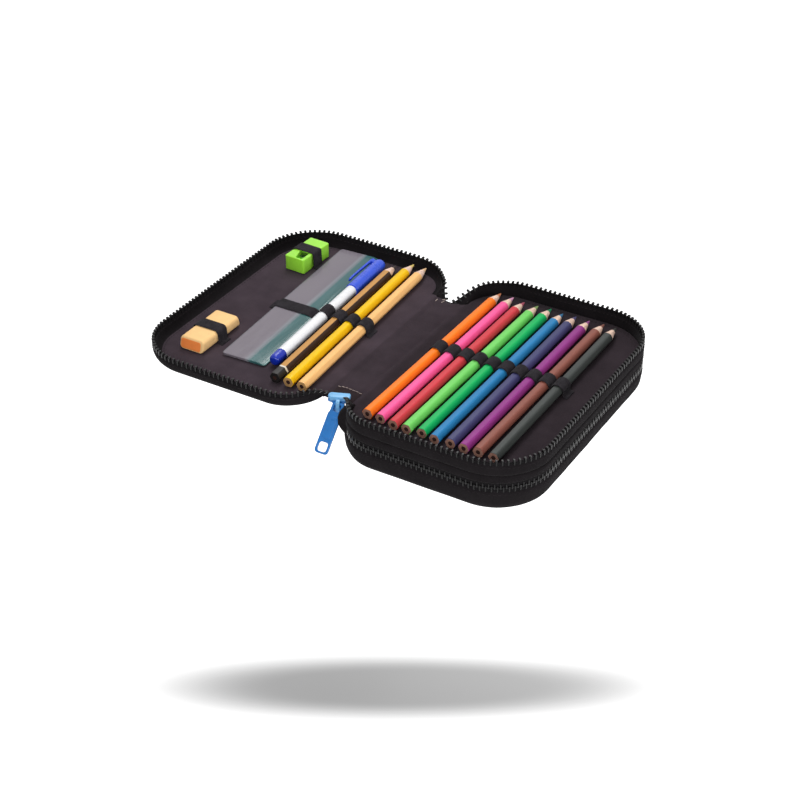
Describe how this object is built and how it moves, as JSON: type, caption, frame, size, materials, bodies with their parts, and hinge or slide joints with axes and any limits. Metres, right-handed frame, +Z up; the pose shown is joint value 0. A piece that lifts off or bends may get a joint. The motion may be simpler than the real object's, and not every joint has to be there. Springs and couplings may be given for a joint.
{
  "type": "pencil case",
  "caption": "Zipped cloth pencil case with two compartments: a fold-out lid and a tray with elastic loops holding pencils, pen, ruler, eraser and sharpener.",
  "frame": {"origin": "middle of the underside of the lower compartment, on the surface it stands on", "axes": "+Z up; +Y along the pencils towards their points; +X from the opened lid towards the tray"},
  "size_m": [0.2918, 0.2036, 0.0386],
  "materials": {
    "case_fabric": "black woven polyester over a thin foam",
    "stiff_board": "plastic sheet covered in charcoal lining",
    "spine_cloth": "charcoal lining over the soft spine",
    "zip_tape": "black woven zip tape",
    "zip_teeth": "black moulded teeth",
    "zip_metal": "blue lacquered die casting",
    "elastic": "black woven elastic",
    "pen_white": "white moulded barrel",
    "pen_blue": "blue moulded cap",
    "pen_plug": "dark blue moulded plug",
    "pen_refill": "ink tube with a small tip",
    "ruler_plastic": "clear tinted acrylic",
    "eraser_rubber": "soft orange eraser",
    "sharpener_plastic": "bright green moulded plastic",
    "blade_steel": "ground blade steel",
    "lacquer_orange": "lacquered wood, bare at the sharpened cone",
    "core_orange": "waxy coloured core",
    "lacquer_pink": "lacquered wood, bare at the sharpened cone",
    "core_pink": "waxy coloured core",
    "lacquer_red": "lacquered wood, bare at the sharpened cone",
    "core_red": "waxy coloured core",
    "lacquer_light_green": "lacquered wood, bare at the sharpened cone",
    "core_light_green": "waxy coloured core",
    "lacquer_green": "lacquered wood, bare at the sharpened cone",
    "core_green": "waxy coloured core",
    "lacquer_blue": "lacquered wood, bare at the sharpened cone",
    "core_blue": "waxy coloured core",
    "lacquer_indigo": "lacquered wood, bare at the sharpened cone",
    "core_indigo": "waxy coloured core",
    "lacquer_purple": "lacquered wood, bare at the sharpened cone",
    "core_purple": "waxy coloured core",
    "lacquer_brown": "lacquered wood, bare at the sharpened cone",
    "core_brown": "waxy coloured core",
    "lacquer_grey": "lacquered wood, bare at the sharpened cone",
    "core_grey": "waxy coloured core",
    "lacquer_peach": "lacquered wood, bare at the sharpened cone",
    "core_peach": "waxy coloured core",
    "lacquer_yellow": "lacquered wood, bare at the sharpened cone",
    "core_yellow": "waxy coloured core",
    "lacquer_striped": "lacquered wood, bare at the sharpened cone",
    "core_striped": "graphite core"
  },
  "bodies": {
    "base": {"base_shell": "case_fabric", "base_board": "stiff_board", "base_spine": "case_fabric", "base_zip_tape": "zip_tape", "base_zip_teeth": "zip_teeth", "lower_slider": "zip_metal"},
    "lower_puller": {"lower_puller": "zip_metal"},
    "tray": {"tray_board": "stiff_board", "tray_wall": "case_fabric", "tray_skirt": "case_fabric", "tray_spine": "case_fabric", "tray_zip_tape": "zip_tape", "tray_zip_teeth": "zip_teeth", "skirt_zip_tape": "zip_tape", "skirt_zip_teeth": "zip_teeth", "tray_elastic": "elastic"},
    "spine": {"spine_panel": "spine_cloth", "upper_slider": "zip_metal"},
    "upper_puller": {"upper_puller": "zip_metal"},
    "lid": {"lid_shell": "case_fabric", "lid_zip_tape": "zip_tape", "lid_zip_teeth": "zip_teeth", "lid_elastic": "elastic", "eraser_elastic": "elastic", "sharpener_elastic": "elastic"},
    "pen": {"pen_barrel": "pen_white", "pen_plug": "pen_plug", "pen_refill": "pen_refill"},
    "pen_cap": {"pen_cap": "pen_blue"},
    "ruler": {"ruler": "ruler_plastic"},
    "eraser": {"eraser": "eraser_rubber"},
    "sharpener": {"sharpener_body": "sharpener_plastic", "sharpener_blade": "blade_steel", "blade_screw": "blade_steel"},
    "pencil_orange": {"pencil_orange": "lacquer_orange", "lead_orange": "core_orange"},
    "pencil_pink": {"pencil_pink": "lacquer_pink", "lead_pink": "core_pink"},
    "pencil_red": {"pencil_red": "lacquer_red", "lead_red": "core_red"},
    "pencil_light_green": {"pencil_light_green": "lacquer_light_green", "lead_light_green": "core_light_green"},
    "pencil_green": {"pencil_green": "lacquer_green", "lead_green": "core_green"},
    "pencil_blue": {"pencil_blue": "lacquer_blue", "lead_blue": "core_blue"},
    "pencil_indigo": {"pencil_indigo": "lacquer_indigo", "lead_indigo": "core_indigo"},
    "pencil_purple": {"pencil_purple": "lacquer_purple", "lead_purple": "core_purple"},
    "pencil_brown": {"pencil_brown": "lacquer_brown", "lead_brown": "core_brown"},
    "pencil_grey": {"pencil_grey": "lacquer_grey", "lead_grey": "core_grey"},
    "pencil_peach": {"pencil_peach": "lacquer_peach", "lead_peach": "core_peach"},
    "pencil_yellow": {"pencil_yellow": "lacquer_yellow", "lead_yellow": "core_yellow"},
    "pencil_striped": {"pencil_striped": "lacquer_striped", "lead_striped": "core_striped"}
  },
  "joints": [
    {"name": "tray_fold", "type": "hinge", "parent": "base", "child": "tray", "pos_m": [-0.0675, 0, 0.0182], "axis": [0, -1, 0], "range_deg": [0, 70]},
    {"name": "spine_fold", "type": "hinge", "parent": "tray", "child": "spine", "pos_m": [-0.0675, 0, 0.026], "axis": [0, 1, 0], "range_deg": [0, 90]},
    {"name": "lid_fold", "type": "hinge", "parent": "spine", "child": "lid", "pos_m": [-0.0887, 0, 0.026], "axis": [0, 1, 0], "range_deg": [0, 90]},
    {"name": "upper_puller_swing", "type": "hinge", "parent": "spine", "child": "upper_puller", "pos_m": [-0.0781, -0.0796, 0.0278], "axis": [-1, 0, 0], "range_deg": [0, 60]},
    {"name": "lower_puller_swing", "type": "hinge", "parent": "base", "child": "lower_puller", "pos_m": [-0.05561, 0.09928, 0.0182], "axis": [0, 0, -1], "range_deg": [0, 150]},
    {"name": "pencil_orange_slide", "type": "slide", "parent": "tray", "child": "pencil_orange", "axis": [0.0087, 1, 0], "range_m": [-0.008, 0.005]},
    {"name": "pencil_pink_slide", "type": "slide", "parent": "tray", "child": "pencil_pink", "axis": [0.0105, 0.9999, 0], "range_m": [-0.008, 0.005]},
    {"name": "pencil_red_slide", "type": "slide", "parent": "tray", "child": "pencil_red", "axis": [0.0061, 1, 0], "range_m": [-0.008, 0.005]},
    {"name": "pencil_light_green_slide", "type": "slide", "parent": "tray", "child": "pencil_light_green", "axis": [0.0122, 0.9999, 0], "range_m": [-0.008, 0.005]},
    {"name": "pencil_green_slide", "type": "slide", "parent": "tray", "child": "pencil_green", "axis": [0.0079, 1, 0], "range_m": [-0.008, 0.005]},
    {"name": "pencil_blue_slide", "type": "slide", "parent": "tray", "child": "pencil_blue", "axis": [0.007, 1, 0], "range_m": [-0.008, 0.005]},
    {"name": "pencil_indigo_slide", "type": "slide", "parent": "tray", "child": "pencil_indigo", "axis": [0.0009, 1, 0], "range_m": [-0.008, 0.005]},
    {"name": "pencil_purple_slide", "type": "slide", "parent": "tray", "child": "pencil_purple", "axis": [0.0052, 1, 0], "range_m": [-0.008, 0.005]},
    {"name": "pencil_brown_slide", "type": "slide", "parent": "tray", "child": "pencil_brown", "axis": [0.0105, 0.9999, 0], "range_m": [-0.008, 0.005]},
    {"name": "pencil_grey_slide", "type": "slide", "parent": "tray", "child": "pencil_grey", "axis": [0.0017, 1, 0], "range_m": [-0.008, 0.005]},
    {"name": "pencil_peach_slide", "type": "slide", "parent": "lid", "child": "pencil_peach", "axis": [-0.0506, 0.9987, 0], "range_m": [-0.009, 0.002]},
    {"name": "pencil_yellow_slide", "type": "slide", "parent": "lid", "child": "pencil_yellow", "axis": [-0.0506, 0.9987, 0], "range_m": [-0.009, 0.002]},
    {"name": "pencil_striped_slide", "type": "slide", "parent": "lid", "child": "pencil_striped", "axis": [-0.0506, 0.9987, 0], "range_m": [-0.009, 0.002]},
    {"name": "pen_slide", "type": "slide", "parent": "lid", "child": "pen", "axis": [-0.0506, 0.9987, 0], "range_m": [-0.008, 0.002]},
    {"name": "pen_cap_slide", "type": "slide", "parent": "pen", "child": "pen_cap", "axis": [-0.0506, 0.9987, 0], "range_m": [0, 0.01]},
    {"name": "ruler_slide", "type": "slide", "parent": "lid", "child": "ruler", "axis": [-0.0506, 0.9987, 0], "range_m": [-0.012, 0.0015]},
    {"name": "eraser_slide", "type": "slide", "parent": "lid", "child": "eraser", "axis": [0, 1, 0], "range_m": [-0.008, 0.01]},
    {"name": "sharpener_slide", "type": "slide", "parent": "lid", "child": "sharpener", "axis": [0.0436, 0.999, 0], "range_m": [-0.01, 0.008]}
  ],
  "couplings": [
    {"joint": "lid_fold", "follows": "spine_fold", "ratio": 1}
  ]
}
